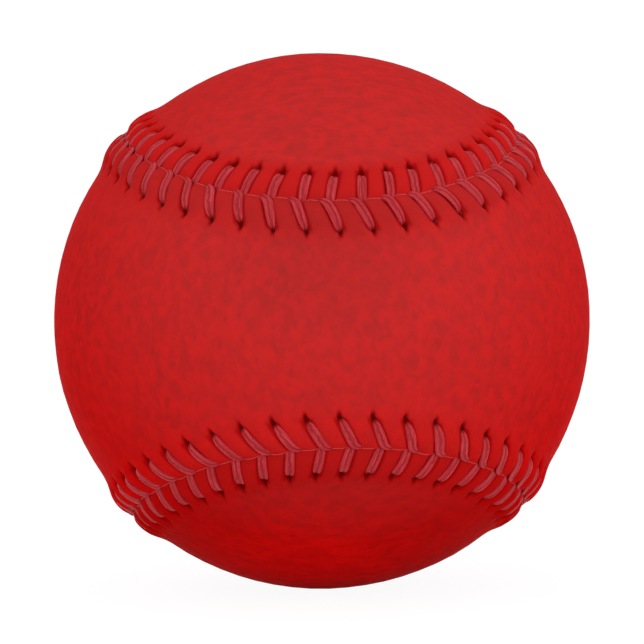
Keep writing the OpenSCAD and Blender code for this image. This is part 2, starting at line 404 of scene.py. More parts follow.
def write_attributes(mesh, domain, rows_by_name):
    """Stores values, vectors or marks for each point or face corner of a mesh."""
    for name, rows in rows_by_name.items():
        size = rows.size // mesh.attributes.domain_size(domain)
        kind = "FLOAT_VECTOR" if size == 3 else "BOOLEAN" if rows.dtype == bool else "FLOAT"
        layer = mesh.attributes.new(name, kind, domain)
        layer.data.foreach_set("vector" if size == 3 else "value", rows.ravel())


class CoverShape:
    """One cover as a closed shell, with its outer face shaped round every stitch."""

    RINGS = np.array([
        0.06, 0.12, 0.22, 0.36, 0.55, 0.8, 1.1, 1.45, 1.8, 2.15, 2.5, 2.85, 3.15, 3.4,
        3.6, 3.8, 4, 4.2, 4.4, 4.6, 4.8, 5, 5.25, 5.6, 6.05, 6.6,
    ]) * MM
    EDGE_ROUND = np.array([0.03, 0.01]) * MM
    INNER_RINGS = np.array([1, 2.3, 3.6, 5, 6.6]) * MM
    OUTER_STEP = 2.6 * MM
    INNER_STEP = 6 * MM
    STRAY_FALL = (0.4 * MM, 2.4 * MM)
    SHARP_ANGLE = math.radians(75)
    FAR_PLACE = (0.0, 20.0, 5.0)
    EVEN_CHANCE = 0.5

    def __init__(self, sizes, seam, relief, side):
        self.sizes, self.seam, self.relief, self.side = sizes, seam, relief, side
        self.rings = np.concatenate([[sizes.edge_gap / 2], self.RINGS])
        self.inner_rings = np.concatenate([[sizes.edge_gap / 2], self.INNER_RINGS])
        self.per_stitch = sizes.station_count
        self.stations = seam.count * self.per_stitch
        self.numbers = (np.arange(self.stations) + 0.5) / self.per_stitch
        quarter = sizes.stitches * self.per_stitch
        rungs = np.arange(2 * quarter)
        if side > 0:
            self.heads = (rungs - quarter) % self.stations
            self.feet = (3 * quarter - rungs - 1) % self.stations
            self.axis = np.array([0, 0, 1.0])
        else:
            self.heads = rungs
            self.feet = (-rungs - 1) % self.stations
            self.axis = np.array([1.0, 0, 0])

    def ring_directions(self, across):
        """Unit vectors to the points of one ring, which strays with the seam line."""
        stray = self.relief.wander(self.numbers) * (1 - fade(across, *self.STRAY_FALL))
        return self.seam.direction(self.numbers, self.side * across + stray)

    def band(self, rings, drop):
        """Points of the rings beside the seam: the outer skin's, or an inner one's with a drop."""
        points = []
        for number, across in enumerate(rings):
            directions = self.ring_directions(across)
            across_all = np.full(self.stations, across)
            if drop:
                up = self.relief.ridge(across_all, self.side) - drop
            else:
                up = self.relief.height(self.numbers, across_all, directions, self.side)
                if number < len(self.EDGE_ROUND):
                    up = up - self.EDGE_ROUND[number]
            points.append(directions * (self.seam.radius + up)[:, None])
        return points

    def fill(self, ring, ids, step, used, drop):
        """Rungs across the inside of a ring, as their points and lists of point numbers."""
        directions = unit(ring)
        sines = directions[self.heads] @ self.axis
        level = unit(directions[self.heads] - sines[:, None] * self.axis)
        points, rungs = [], []
        for k, latitude in enumerate(np.arcsin(sines)):
            count = max(1, int(math.ceil(2 * latitude * self.seam.radius / step)))
            turns = latitude * (1 - 2 * np.arange(1, count) / count)
            inside = level[k] * np.cos(turns)[:, None] + self.axis * np.sin(turns)[:, None]
            up = -drop if drop else self.relief.wave(inside)[:, None]
            points.append(inside * (self.seam.radius + up))
            rungs.append([ids[self.heads[k]], *range(used, used + count - 1), ids[self.feet[k]]])
            used += count - 1
        return points, rungs

    def skin(self, rings, step, base, drop):
        """Points, faces and ring numbers of one skin whose points are numbered from base."""
        points = self.band(rings, drop)
        ring_ids = base + np.arange(len(rings) * self.stations).reshape(len(rings), -1)
        faces = [quads(first, second) for first, second in zip(ring_ids, ring_ids[1:])]
        filling, rungs = self.fill(points[-1], ring_ids[-1], step, base + ring_ids.size, drop)
        zipped = []
        for first, second in zip(rungs, rungs[1:]):
            zip_rungs(first, second, zipped)
        faces.append(np.array(zipped))
        return np.concatenate(points + filling), np.concatenate(faces), ring_ids

    def stitch_places(self, mesh, band_faces):
        """Writes each face corner's place beside its nearest stitch, in millimetres."""
        count = len(mesh.polygons)
        corners = np.empty(len(mesh.loops), int)
        mesh.loops.foreach_get("vertex_index", corners)
        points = np.empty(len(mesh.vertices) * 3)
        mesh.vertices.foreach_get("co", points)
        directions = unit(points.reshape(-1, 3))
        band = corners.reshape(count, 3)[:band_faces]
        rings, stations = np.divmod(band, self.stations)
        across = self.rings[rings]
        lean = self.relief.lean_at(across.mean(1), self.side)
        stitch = np.round(self.numbers[stations[:, 0]] - lean / self.seam.spacing).astype(int)
        shift = self.relief.shift_of(self.side, stitch)
        places = np.tile(np.array(self.FAR_PLACE), (count, 3, 1))
        for corner in range(3):
            reach = across[:, corner]
            along, _ = self.seam.place_from(stitch, directions[band[:, corner]])
            off = along - self.relief.lean_at(reach, self.side, shift)
            beside = self.relief.beside_hole(along, reach, self.side, stitch)
            places[:band_faces, corner] = np.stack([beside, reach, off], 1) / MM
        picks = np.random.default_rng(self.sizes.seed + self.side).uniform(size=self.seam.count)
        chances = np.full((count, 3), self.EVEN_CHANCE)
        chances[:band_faces] = picks[stitch % self.seam.count][:, None]
        write_attributes(mesh, "CORNER", {"stitch_place": places, "stitch_chance": chances})

    def make(self, name):
        """The cover as a mesh object: its outer skin, its inner skin and the wall between."""
        outer, outer_faces, outer_ids = self.skin(self.rings, self.OUTER_STEP, 0, 0)
        inner, inner_faces, inner_ids = self.skin(
            self.inner_rings, self.INNER_STEP, len(outer), self.sizes.leather
        )
        wall = quads(inner_ids[0], outer_ids[0])
        points = np.concatenate([outer, inner])
        faces = np.concatenate([outer_faces, inner_faces[:, ::-1], wall])
        a, b, c = (points[faces[:, i]] for i in range(3))
        if (a * np.cross(b, c)).sum() < 0:
            faces = faces[:, ::-1]
        made = mesh_object(name, points, faces)
        self.stitch_places(made.data, (len(self.rings) - 1) * self.stations * 2)
        made.data.set_sharp_from_angle(angle=self.SHARP_ANGLE)
        return made


# Node trees


class Tree:
    """Adds nodes to a tree. An input is a plain value or another node's output."""

    def __init__(self, tree):
        self.tree = tree

    def give(self, made, inputs):
        """Sets the inputs of a node, or links those whose value is a socket."""
        for key, value in inputs.items():
            if isinstance(value, bpy.types.NodeSocket):
                self.tree.links.new(value, made.inputs[key])
            else:
                made.inputs[key].default_value = value

    def node(self, kind, inputs=None, **settings):
        """A new node with these settings and inputs."""
        made = self.tree.nodes.new(kind)
        for key, value in settings.items():
            setattr(made, key, value)
        self.give(made, inputs or {})
        return made

    def first(self, kind, inputs=None, **settings):
        """The first output of a new node."""
        return self.node(kind, inputs, **settings).outputs[0]

    def math(self, operation, *values, clamp=False):
        """The result of an operation on numbers."""
        inputs = dict(enumerate(values))
        return self.first("ShaderNodeMath", inputs, operation=operation, use_clamp=clamp)

    def times(self, first, second):
        """Two values multiplied."""
        return self.math("MULTIPLY", first, second)

    def minus(self, first, second):
        """The first value less the second."""
        return self.math("SUBTRACT", first, second)

    def smooth(self, value, low, high, to_low=0.0, to_high=1.0):
        """A smooth ramp that reads low to high and gives to_low to to_high."""
        inputs = {0: value, 1: low, 2: high, 3: to_low, 4: to_high}
        return self.first("ShaderNodeMapRange", inputs, interpolation_type="SMOOTHSTEP")

    def mix(self, share, first, second, blend="MIX"):
        """The first colour with a share of the second."""
        inputs = {0: share, 6: first, 7: second}
        made = self.node("ShaderNodeMix", inputs, data_type="RGBA", blend_type=blend)
        return made.outputs[2]

    def lay(self, tone, share, colour):
        """A colour as written for a screen, laid over a tone by a share."""
        return self.mix(share, tone, linear(colour))

    def tint(self, tone, share, factors):
        """A tone whose red, green and blue are multiplied by these factors, by a share."""
        return self.mix(share, tone, (*factors, 1.0), "MULTIPLY")

    def vector(self, operation, *values):
        """The vector that an operation on vectors gives."""
        inputs = dict(enumerate(values))
        return self.first("ShaderNodeVectorMath", inputs, operation=operation)

    def vector_value(self, operation, *values):
        """The number that an operation on vectors gives."""
        inputs = dict(enumerate(values))
        return self.node("ShaderNodeVectorMath", inputs, operation=operation).outputs["Value"]

    def parts(self, vector):
        """X, Y and Z of a vector."""
        return self.node("ShaderNodeSeparateXYZ", {0: vector}).outputs[:]

    def attribute(self, name, output):
        """What the mesh holds under a name."""
        return self.node("ShaderNodeAttribute", None, attribute_name=name).outputs[output]

    def noise(self, place, size, detail=2.0, roughness=0.5, distortion=0.0):
        """Noise whose clouds are about size millimetres across, from 0 to 1."""
        inputs = {
            "Vector": place, "Scale": 1 / size, "Detail": detail, "Roughness": roughness,
            "Distortion": distortion,
        }
        return self.first("ShaderNodeTexNoise", inputs)


def linear(value):
    """A colour as written for a screen, as the light that it stands for, with alpha."""
    parts = [c / 12.92 if c <= 0.04045 else ((c + 0.055) / 1.055) ** 2.4 for c in value]
    return (*parts, 1.0)


def new_material(name):
    """A material with a Principled shader, as (material, its tree, the shader)."""
    material = bpy.data.materials.new(name)
    material.use_nodes = True
    shader = material.node_tree.nodes["Principled BSDF"]
    return material, Tree(material.node_tree), shader


def millimetre_place(tree):
    """Object coordinates in millimetres."""
    place = tree.node("ShaderNodeTexCoord").outputs["Object"]
    return tree.vector("MULTIPLY", place, (1 / MM, 1 / MM, 1 / MM))


def put_bump(tree, shader, *layers):
    """Stacks bumps, each given as (height, strength, depth in millimetres)."""
    normal = None
    for height, strength, depth in layers:
        inputs = {"Strength": strength, "Distance": depth * MM, "Height": height}
        if normal:
            inputs["Normal"] = normal
        normal = tree.first("ShaderNodeBump", inputs)
    tree.give(shader, {"Normal": normal})


# Finishes


UPRIGHT_STRETCH = (1.0, 1.0, 0.8)
LEVEL_STRETCH = (0.68, 1.0, 1.0)
CAP_HEIGHTS = (13.0, 21.0)


def stretched_noise(tree, place, **settings):
    """Noise drawn out upright round the middle of the ball and sideways over its two caps."""
    upright = tree.noise(tree.vector("MULTIPLY", place, UPRIGHT_STRETCH), **settings)
    level = tree.noise(tree.vector("MULTIPLY", place, LEVEL_STRETCH), **settings)
    cap = tree.smooth(tree.math("ABSOLUTE", tree.parts(place)[2]), *CAP_HEIGHTS)
    return tree.math("MULTIPLY_ADD", tree.minus(level, upright), cap, upright)


class CoverLeather:
    """Dyed leather with soft clouds, fine grain and raw edges, and with painted light and shade:
    dark holes with crease tails, a shadow line beside each leg, a whitish sheen and a lit spot low
    on the ball.

    Places are in millimetres. A ramp is the two values that it reads and then, where they
    aren't 0 and 1, the two that it gives. A bump is its strength and its depth.
    """

    CLOUD_NOISE = {"size": 1.45, "detail": 2.0, "roughness": 0.55, "distortion": 0.3}
    SPECK_NOISE = {"size": 0.95, "detail": 1.0, "roughness": 0.4}
    SPECK_SHIFT = (40.0, 0.0, 0.0)
    GRAIN_NOISE = {"size": 0.5, "detail": 2.0, "roughness": 0.6}
    PATCH_SIZE = 11.0
    CLOUD_RAMP = (0.28, 0.7)
    PATCH_RAMP = (0.35, 0.65, 0.0, 0.25)
    SPECK_RAMP = (0.57, 0.77, 0.0, 0.5)
    GRAIN_RAMP = (0.3, 0.7, 0.0, 0.18)

    BAND_REACH = (3.4, 6.4)
    BAND_SHARES = {1: 0.35, -1: 0.65}
    BAND_RED_SHARE = 0.96
    BAND_GREEN = 0.08
    UPPER_HEIGHTS = (6.0, 12.0)
    UPPER_RAMP = (3.0, 5.2, 1.0, 0.0)
    UPPER_TINT = (0.88, 1.0, 1.0)

    # Painted light on the lower cap: a lit spot at its bottom and painted shade round it.
    LOW_SPOT = (-3.5, -16.0, -33.0)
    LOW_HEIGHT_RAMP = (-16.0, -8.0, 1.0, 0.0)
    LOW_REACH_RAMP = (30.0, 46.0, 1.0, 0.0)
    LOW_LIT_RAMP = (6.0, 14.0, 1.0, 0.0)
    LOW_LIT_TINT = (1.13, 1.0, 1.0)
    LOW_SHADE_RAMP = (9.0, 20.0)
    LOW_SHADE_TINT = (0.83, 1.0, 1.0)

    # Painted sheen: where the leather keeps its whitish sheen, on the front and top, and where it
    # is taken out.
    END_ROUND = 10.0
    SHEEN_FALL_BY_REACH = 1.3
    SHEEN_FALL_BY_HEIGHT = 0.6
    SHEEN_FADE = -0.03
    SHEEN_START = 1.48
    SHEENLESS_TINT = (1.0, 0.12, 0.12)
    HANDLED_SPOT = (-2.0, -35.5, 9.0)
    HANDLED_RAMP = (3.0, 15.0, 1.0, 0.0)
    HANDLED_TINT = (0.89, 1.0, 1.0)

    LINE_RAMP = (0.62, 1.05, 0.75, 0.0)
    LINE_START = (0.0, 0.4)
    LINE_END = (3.7, 4.5, 1.0, 0.0)
    TAIL_BEND = 0.7
    TAIL_START = 0.2
    TAIL_RAMPS = ((0.2, 1.4, 1.0, 0.0), (-1.0, -0.5))
    CREASE_RAMP = (0.1, 0.5, 0.55, 0.0)
    HOLE_OUTLINE = (-0.7, 0.6, 0.34, 0.06)
    HOLE_RIM = (-0.2, 0.16, 0.84, 0.0)
    HOLE_ENDS = ((-1.1, -0.7), (0.0, 0.7, 1.0, 0.0))
    FRAY_GRAIN = (0.52, 0.62)
    FRAY_CHANCE = (0.7, 0.8)
    FRAY_SHARE = 0.8
    EDGE_RAMP = (0.03, 0.075, 0.54, 0.0)

    ROUGHNESS_RAMP = (0.2, 0.8, 0.62, 0.78)
    SPECULAR = 0.01
    GRAIN_BUMP = (0.3, 0.05)
    CLOUD_BUMP = (0.2, 0.12)
    HOLE_BUMP = (0.6, 0.3)

    def __init__(self, name, colours, hole_offset, side):
        self.colours, self.side = colours, side
        self.material, self.tree, self.shader = new_material(name)
        tree = self.tree
        self.place = millimetre_place(tree)
        _, self.depth, self.height = tree.parts(self.place)
        stitch_place = tree.attribute("stitch_place", "Vector")
        self.along, self.across, self.leg_off = tree.parts(stitch_place)
        self.chance = tree.attribute("stitch_chance", "Fac")
        self.far = tree.minus(self.across, hole_offset / MM)
        self.clouds = stretched_noise(tree, self.place, **self.CLOUD_NOISE)
        self.grain = tree.noise(self.place, **self.GRAIN_NOISE)

    def both(self, value, ramps):
        """Two ramps over one value, multiplied."""
        return self.tree.times(*(self.tree.smooth(value, *ramp) for ramp in ramps))

    def dye(self):
        """Clouds, wide patches, specks and grain in the dye."""
        tree, colours = self.tree, self.colours
        cloudy = tree.smooth(self.clouds, *self.CLOUD_RAMP)
        tone = tree.mix(cloudy, linear(colours.leather_dark), linear(colours.leather))
        patches = tree.noise(self.place, self.PATCH_SIZE)
        tone = tree.lay(tone, tree.smooth(patches, *self.PATCH_RAMP), colours.leather)
        elsewhere = tree.vector("ADD", self.place, self.SPECK_SHIFT)
        specks = stretched_noise(tree, elsewhere, **self.SPECK_NOISE)
        tone = tree.lay(tone, tree.smooth(specks, *self.SPECK_RAMP), colours.leather_speck)
        fine = tree.smooth(self.grain, *self.GRAIN_RAMP)
        return tree.lay(tone, fine, colours.leather_dark)

    def seam_band(self, tone):
        """Deeper, purer red in the band between the stitches beside the seam, more on the rear
        cover.
        """
        banded = self.tree.smooth(self.across, *self.BAND_REACH, self.BAND_SHARES[self.side], 0.0)
        red = self.colours.leather[0] * self.BAND_RED_SHARE
        return self.tree.lay(tone, banded, (red, self.BAND_GREEN, self.BAND_GREEN))

    def dull_upper_band(self, tone):
        """Darker red between the front cover's upper stitches."""
        tree = self.tree
        high = tree.smooth(self.height, *self.UPPER_HEIGHTS)
        upper = tree.times(high, tree.smooth(self.across, *self.UPPER_RAMP))
        return tree.tint(tone, upper, self.UPPER_TINT)

    def painted_light_on_lower_cap(self, tone):
        """Painted light and shade on the front of the lower cap: a paler, painted-lit spot at its
        bottom, where the floor's shadow falls, and darker red round it as painted shade.
        """
        tree = self.tree
        reach = tree.vector_value("DISTANCE", self.place, self.LOW_SPOT)
        high = tree.smooth(self.height, *self.LOW_HEIGHT_RAMP)
        low = tree.times(high, tree.smooth(reach, *self.LOW_REACH_RAMP))
        # pale is painted light where the floor's shadow darkens the bottom; dull is painted shade
        # round it.
        pale = tree.times(low, tree.smooth(reach, *self.LOW_LIT_RAMP))
        dull = tree.times(low, tree.smooth(reach, *self.LOW_SHADE_RAMP))
        tone = tree.tint(tone, pale, self.LOW_LIT_TINT)
        return tree.tint(tone, dull, self.LOW_SHADE_TINT)

    def painted_sheen_and_wear(self, tone):
        """Painted sheen and wear: the leather colours' whitish sheen from the lamp above is taken
        out low on the ball and at its two ends, which leaves purer red there, and a duller patch
        where it was held.
        """
        tree = self.tree
        reach = tree.math("MULTIPLY_ADD", self.depth, self.depth, self.END_ROUND ** 2)
        raised = tree.times(self.height, self.SHEEN_FALL_BY_HEIGHT)
        sheen_fall = tree.math("MULTIPLY_ADD", tree.math("SQRT", reach), self.SHEEN_FALL_BY_REACH, raised)
        # Painted sheen taken out: green and blue drop low on the ball and at its two ends.
        sheenless = tree.math("MULTIPLY_ADD", sheen_fall, self.SHEEN_FADE, self.SHEEN_START, clamp=True)
        tone = tree.tint(tone, sheenless, self.SHEENLESS_TINT)
        handled = tree.vector_value("DISTANCE", self.place, self.HANDLED_SPOT)
        return tree.tint(tone, tree.smooth(handled, *self.HANDLED_RAMP), self.HANDLED_TINT)

    def leg_shadow(self, tone):
        """Shadowed line beside each leg of a stitch."""
        tree = self.tree
        beside = tree.smooth(tree.math("ABSOLUTE", self.leg_off), *self.LINE_RAMP)
        reach = self.both(self.across, (self.LINE_START, self.LINE_END))
        return tree.lay(tone, tree.times(beside, reach), self.colours.leather_shade)

    def hole(self, tone):
        """Lacing hole, as a drop of painted shade that narrows away from the seam and ends in a
        bent crease of painted shade.
        """
        tree, colours = self.tree, self.colours
        bend = tree.times(tree.minus(self.chance, 0.5), self.TAIL_BEND)
        past = tree.math("MAXIMUM", tree.minus(self.far, self.TAIL_START), 0.0)
        middle = tree.times(bend, tree.times(past, past))
        off = tree.math("ABSOLUTE", tree.minus(self.along, middle))
        tail = self.both(self.far, self.TAIL_RAMPS)
        crease = tree.times(tree.smooth(off, *self.CREASE_RAMP), tail)
        # Painted shade in the bent crease beyond the hole.
        tone = tree.lay(tone, crease, colours.leather_shade)
        rim = tree.minus(off, tree.smooth(self.far, *self.HOLE_OUTLINE))
        ends = self.both(self.far, self.HOLE_ENDS)
        inside = tree.times(tree.smooth(rim, *self.HOLE_RIM), ends)
        # Painted shade inside the hole.
        return tree.lay(tone, inside, colours.leather_hole), inside

    def fray(self, tone, inside):
        """Torn fibres in a few of the holes."""
        tree = self.tree
        picked = tree.smooth(self.chance, *self.FRAY_CHANCE)
        torn = tree.times(tree.smooth(self.grain, *self.FRAY_GRAIN), picked)
        frayed = tree.times(tree.times(torn, inside), self.FRAY_SHARE)
        return tree.lay(tone, frayed, self.colours.leather_fray)

    def make(self):
        """The finished material."""
        tree = self.tree
        tone = self.seam_band(self.dye())
        tone = self.dull_upper_band(tone) if self.side > 0 else self.painted_light_on_lower_cap(tone)
        tone, inside = self.hole(self.leg_shadow(self.painted_sheen_and_wear(tone)))
        tone = self.fray(tone, inside)
        edge = tree.smooth(self.across, *self.EDGE_RAMP)
        tree.give(self.shader, {
            "Base Color": tree.lay(tone, edge, self.colours.leather_edge),
            "Roughness": tree.smooth(self.grain, *self.ROUGHNESS_RAMP),
            "Specular IOR Level": self.SPECULAR,
        })
        put_bump(
            tree, self.shader, (self.grain, *self.GRAIN_BUMP), (self.clouds, *self.CLOUD_BUMP),
            (tree.minus(1.0, inside), *self.HOLE_BUMP),
        )
        return self.material


def waxed_thread(colours):
    """Two waxed plies with fibres that run along, and painted shade: a dark groove between the
    plies, darker flanks and a dark end where the leg sinks into its hole.
    """
    fibres_across, fibres_along, shift_per_leg = 7.0, 2.2, 50.0
    groove_sway, even_share = 0.9, 0.25
    pale_factor, pale_added = 1.05, 0.1
    material, tree, shader = new_material("waxed_thread_plies")
    wide, run, _ = tree.parts(tree.attribute("ply_place", "Vector"))
    start = tree.times(tree.attribute("leg_chance", "Fac"), shift_per_leg)
    fibre_place = tree.first("ShaderNodeCombineXYZ", {
        0: tree.times(wide, fibres_across),
        1: tree.math("MULTIPLY_ADD", run, fibres_along, start),
        2: start,
    })
    fibres = tree.noise(fibre_place, size=1.0, detail=3.0, roughness=0.6)
    mottle = tree.noise(millimetre_place(tree), size=0.7)
    sway = tree.times(tree.minus(mottle, 0.5), groove_sway)
    groove_off = tree.math("ABSOLUTE", tree.math("ADD", wide, sway))
    # Painted shade in the groove between the plies, which sways along the thread.
    groove = tree.smooth(groove_off, 0.0, 0.36, 0.8, 0.0)
    pale = linear([min(1, c * pale_factor + pale_added) for c in colours.thread])
    tone = tree.mix(tree.smooth(fibres, 0.3, 0.7), linear(colours.thread_dark), pale)
    tone = tree.lay(tone, even_share, colours.thread)
    tone = tree.lay(tone, groove, colours.thread_dark)
    # Painted shade along the thread's two flanks.
    flank = tree.smooth(tree.math("ABSOLUTE", wide), 0.85, 1.0, 0.0, 0.4)
    tone = tree.lay(tone, flank, colours.thread_dark)
    # Painted shade on the end of the leg, where it sinks into its hole.
    sunk = tree.smooth(run, 0.06, 0.2, 0.9, 0.0)
    tree.give(shader, {
        "Base Color": tree.lay(tone, sunk, colours.leather_hole),
        "Roughness": tree.smooth(fibres, 0.2, 0.8, 0.6, 0.42),
        "Specular IOR Level": 0.2,
    })
    put_bump(tree, shader, (fibres, 0.6, 0.08), (tree.minus(1.0, groove), 0.7, 0.15))
    return material


def ground_cork(colours):
    """Pressed cork grains of mixed size and colour."""
    grains_per_mm, chips_per_mm = 0.7, 2.1
    material, tree, shader = new_material("ground_cork")
    place = millimetre_place(tree)
    grains = tree.node("ShaderNodeTexVoronoi", {"Vector": place, "Scale": grains_per_mm})
    chips = tree.node("ShaderNodeTexVoronoi", {"Vector": place, "Scale": chips_per_mm})
    pick = tree.first("ShaderNodeSeparateColor", {0: grains.outputs["Color"]})
    small = tree.node("ShaderNodeSeparateColor", {0: chips.outputs["Color"]}).outputs[1]
    light = tree.smooth(pick, 0.1, 0.9)
    tone = tree.mix(light, linear(colours.cork_dark), linear(colours.cork))
    tone = tree.lay(tone, tree.smooth(small, 0.4, 1.0, 0.0, 0.7), colours.cork)
    seams = tree.smooth(grains.outputs["Distance"], 0.2, 0.9)
    tree.give(shader, {"Base Color": tone, "Roughness": 0.85})
    put_bump(tree, shader, (seams, 0.5, 0.3), (small, 0.3, 0.1))
    return material


def moulded_rubber(name, shade):
    """Matt rubber with fine flow marks and a few pale specks of chalk."""
    deep_share, pale_share = 0.82, 0.35
    material, tree, shader = new_material(name)
    place = millimetre_place(tree)
    flow = tree.noise(place, size=4.0, detail=3.0, roughness=0.6, distortion=1.2)
    skin = tree.noise(place, size=0.4)
    chalk = tree.smooth(tree.noise(place, size=1.3, detail=3.0), 0.62, 0.8, 0.0, 0.35)
    deep = [c * deep_share for c in shade]
    pale = [c + (1 - c) * pale_share for c in shade]
    tone = tree.mix(tree.smooth(flow, 0.3, 0.7), linear(deep), linear(shade))
    rough = tree.smooth(skin, 0.2, 0.8, 0.6, 0.8)
    tree.give(shader, {"Base Color": tree.lay(tone, chalk, pale), "Roughness": rough})
    put_bump(tree, shader, (skin, 0.3, 0.05), (flow, 0.2, 0.1))
    return material


def wound_yarn(name, shade, yarn_width, fuzz):
    """Yarn wound in great circles that cross in patches, with a twist along each strand and
    painted shade between the strands.
    """
    patches_per_mm, waves_per_mm = 0.11, 0.12
    dark_share, hair_width, strand_depth = 0.55, yarn_width * 0.3, yarn_width * 0.4
    material, tree, shader = new_material(name)
    place = millimetre_place(tree)
    waves = tree.node("ShaderNodeTexNoise", {"Vector": place, "Scale": waves_per_mm}).outputs[1]
    patches = tree.node("ShaderNodeTexVoronoi", {
        "Vector": tree.vector("ADD", place, waves), "Scale": patches_per_mm
    }).outputs["Color"]
    direction = tree.vector("NORMALIZE", tree.vector("SUBTRACT", patches, (0.5, 0.5, 0.5)))
    lane = tree.vector_value("DOT_PRODUCT", place, direction)
    stripe = tree.math("FRACT", tree.math("DIVIDE", lane, yarn_width))
    crest = tree.math("ABSOLUTE", tree.math("MULTIPLY_ADD", stripe, 2.0, -1.0))
    strand = tree.smooth(crest, 0.55, 1.0, 1.0, 0.0)
    wool = tree.noise(place, size=hair_width, detail=3.0, roughness=0.7)
    dark = [c * dark_share for c in shade]
    # The edges of each strand are darker: painted shade between the strands.
    tone = tree.mix(strand, linear(dark), linear(shade))
    tone = tree.lay(tone, tree.smooth(wool, 0.3, 0.7, fuzz, 0.0), dark)
    tree.give(shader, {"Base Color": tone, "Roughness": 0.9, "Sheen Weight": 0.3})
    put_bump(tree, shader, (strand, 0.9, strand_depth), (wool, 0.5, 0.1))
    return material


def studio_white(floor_share):
    """White to the camera, in gloss and through glass, with the object's shadow kept."""
    white, paint, glow_strength = (1, 1, 1, 1), (0.95, 0.95, 0.95, 1), 1.06
    material, tree, shader = new_material("studio_white")
    tree.give(shader, {"Base Color": paint, "Roughness": 0.9, "Specular IOR Level": 0.0})
    surface = shader.outputs[0]
    glow = tree.first("ShaderNodeEmission", {"Color": white, "Strength": glow_strength})
    dim = tree.first("ShaderNodeMixShader", {0: floor_share, 1: glow, 2: surface})
    both = tree.first("ShaderNodeMixShader", {0: studio_rays(tree), 1: surface, 2: dim})
    tree.give(tree.tree.nodes["Material Output"], {"Surface": both})
    return material


def studio_rays(tree):
    """1 for a ray of the camera, of gloss or through glass, and 0 for any other."""
    rays = tree.node("ShaderNodeLightPath").outputs
    gloss = tree.math("MAXIMUM", rays["Is Camera Ray"], rays["Is Glossy Ray"])
    return tree.math("MAXIMUM", gloss, rays["Is Transmission Ray"])


# The thread


def tube_faces(rows, size):
    """Faces of a closed tube with this many rings of so many points each."""
    faces = []
    for row in range(rows - 1):
        for k in range(size):
            a, b = row * size + k, row * size + (k + 1) % size
            faces.append((a, b, b + size, a + size))
    faces.append(tuple(range(size))[::-1])
    faces.append(tuple((rows - 1) * size + k for k in range(size)))
    return faces


